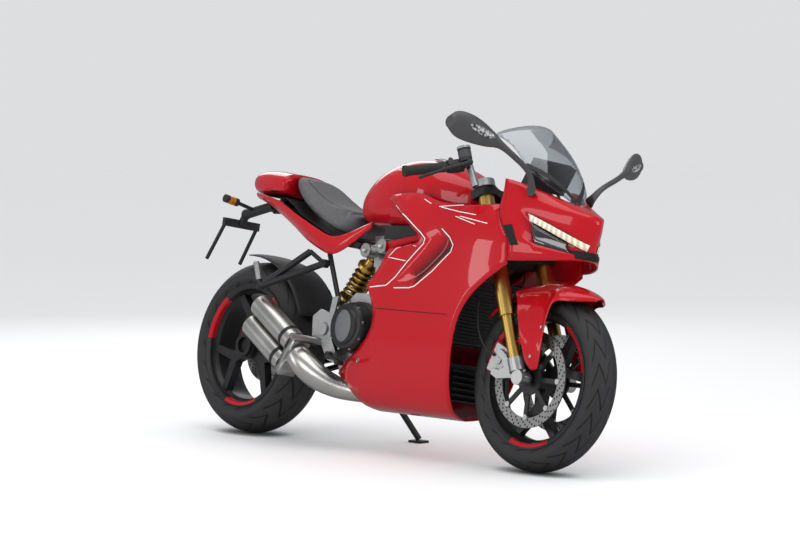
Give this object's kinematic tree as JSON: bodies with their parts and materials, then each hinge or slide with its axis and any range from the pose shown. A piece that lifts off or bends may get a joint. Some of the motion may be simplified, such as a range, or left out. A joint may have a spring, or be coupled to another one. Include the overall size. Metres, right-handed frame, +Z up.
{
  "type": "sport motorcycle",
  "caption": "Fully faired sport motorcycle with a single-sided swingarm and stacked silencers, leaning on its side stand; wheels turn, bars steer and the stand folds.",
  "frame": {"origin": "on the ground below the middle of the parked bike's box", "axes": "+X forwards, +Y to the rider's left, the side it leans to, +Z up"},
  "size_m": [2.093, 0.897, 1.1805],
  "materials": {
    "red_paint": "gloss",
    "black_metal": "satin",
    "black_plastic": "matte",
    "rubber": "matte",
    "silver_metal": "satin",
    "steel": "brushed",
    "gold_metal": "satin",
    "seat_vinyl": "matte",
    "tyre": "matte",
    "grey_plastic": "satin",
    "lamp_glass": "gloss",
    "lamp_white": "gloss",
    "screen_tint": "gloss"
  },
  "bodies": {
    "bike": {"frame": "red_paint", "subframe": "black_metal", "engine": "silver_metal", "clutch_cover": "black_metal", "alternator_cover": "black_metal", "radiator": "black_plastic", "oil_cooler": "black_plastic", "exhaust_pipe": "steel", "silencer": "steel", "swingarm": "black_metal", "shock_absorber": "gold_metal", "chain": "black_metal", "rear_hugger": "black_plastic", "rear_caliper": "silver_metal", "footrest_right": "silver_metal", "footrest_left": "silver_metal", "brake_pedal": "black_metal", "shift_lever": "black_metal", "passenger_hangers": "black_metal", "fuel_tank": "red_paint", "filler_cap": "silver_metal", "seat": "seat_vinyl", "seat_cowl": "red_paint", "tail_panel_right": "red_paint", "tail_panel_left": "red_paint", "undertail": "black_plastic", "plate_holder": "black_plastic", "fairing_right": "red_paint", "fairing_left": "red_paint", "nose_fairing": "red_paint", "headlamp_lenses": "lamp_glass", "running_lamps": "lamp_white", "windscreen": "screen_tint", "dash": "black_plastic", "mirror_right": "grey_plastic", "mirror_left": "grey_plastic"},
    "steering": {"fork_tubes": "gold_metal", "fork_sliders": "gold_metal", "fork_bottoms": "silver_metal", "upper_clamp": "black_metal", "lower_clamp": "black_metal", "handlebars": "silver_metal", "grips": "rubber", "control_levers": "black_plastic", "front_fender": "red_paint", "front_calipers": "silver_metal", "brake_hoses": "rubber"},
    "front_wheel": {"front_rim": "black_metal", "front_tyre": "tyre", "front_discs": "steel"},
    "rear_wheel": {"rear_rim": "black_metal", "rear_tyre": "tyre", "rear_disc": "steel", "rear_sprocket": "steel"},
    "stand": {"side_stand": "black_metal"}
  },
  "joints": [
    {"name": "steer", "type": "hinge", "parent": "bike", "child": "steering", "pos_m": [0.49177, -0.05216, 0.76631], "axis": [-0.4067, 0.1586, 0.8997], "range_deg": [-27, 27]},
    {"name": "front_wheel_spin", "type": "hinge", "parent": "steering", "child": "front_wheel", "pos_m": [0.7465, -0.13501, 0.29643], "axis": [0, 0.9848, -0.1736], "continuous": true},
    {"name": "rear_wheel_spin", "type": "hinge", "parent": "bike", "child": "rear_wheel", "pos_m": [-0.7315, -0.1323, 0.31181], "axis": [0, 0.9848, -0.1736], "continuous": true},
    {"name": "stand_fold", "type": "hinge", "parent": "bike", "child": "stand", "pos_m": [-0.1825, -0.01568, 0.21306], "axis": [-0.2083, 0.9773, -0.0386], "range_deg": [0, 112]}
  ]
}
